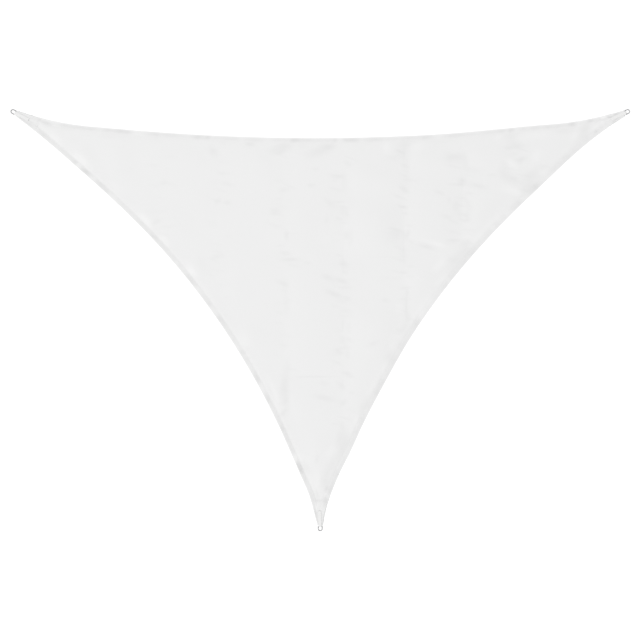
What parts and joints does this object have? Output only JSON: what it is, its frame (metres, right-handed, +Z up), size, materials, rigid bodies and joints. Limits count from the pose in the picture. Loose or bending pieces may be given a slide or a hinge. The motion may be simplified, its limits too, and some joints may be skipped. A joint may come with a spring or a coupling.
{
  "type": "triangular shade sail",
  "caption": "Triangular white cloth sail with hollow hemmed edges and a wire ring on webbing at each corner, laid out flat.",
  "frame": {"origin": "under the middle of the bounding box, on the surface that the sail lies on", "axes": "+X along the long hem, +Y from the foot corner to the long hem, +Z up from the ground"},
  "size_m": [6.106, 4.158, 0.0155],
  "materials": {
    "cloth": "matt plain-woven polyester",
    "patch": "matt plain-woven polyester, second layer",
    "webbing": "woven polyester tape",
    "ring": "polished stainless wire"
  },
  "bodies": {
    "root": {"sail_cloth": "cloth", "corner_patch_left": "patch", "corner_patch_right": "patch", "corner_patch_foot": "patch", "webbing_loop_left": "webbing", "webbing_loop_right": "webbing", "webbing_loop_foot": "webbing", "d_ring_left": "ring", "d_ring_right": "ring", "d_ring_foot": "ring"}
  },
  "joints": []
}
